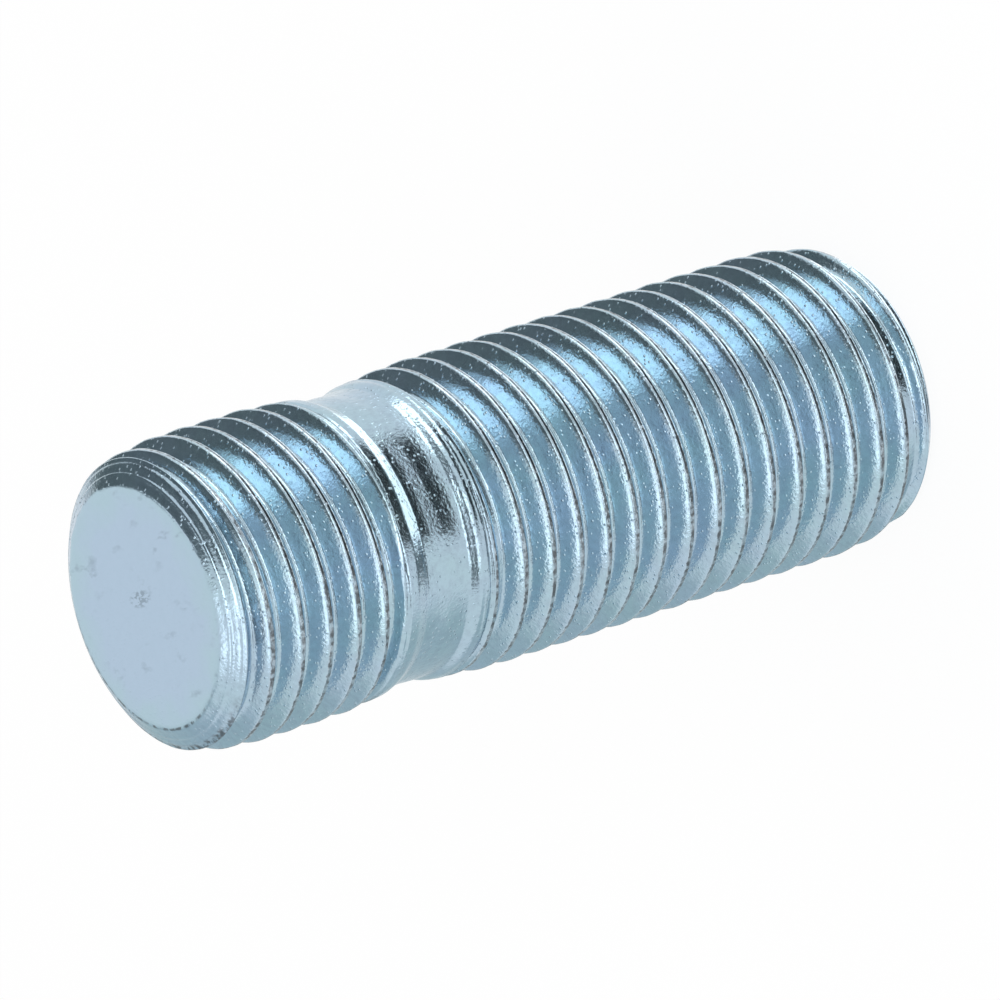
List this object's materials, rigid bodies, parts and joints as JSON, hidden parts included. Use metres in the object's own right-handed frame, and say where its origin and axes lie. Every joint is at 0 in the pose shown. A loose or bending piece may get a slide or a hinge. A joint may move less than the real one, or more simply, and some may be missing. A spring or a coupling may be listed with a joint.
{
  "type": "wheel stud",
  "caption": "Double-ended threaded wheel stud: a short hub thread, a plain neck with a collar and a long nut thread, zinc plated.",
  "frame": {"origin": "centre of the flat face at the nut end, on which the stud stands", "axes": "+Z along the stud's axis, from the nut end with the long thread up to the hub end with the short thread"},
  "size_m": [0.0138, 0.0138, 0.0385],
  "materials": {
    "zinc_plate": "bright zinc plate with a pale blue passivate, over rolled steel"
  },
  "bodies": {
    "root": {"wheel_stud": "zinc_plate"}
  },
  "joints": []
}
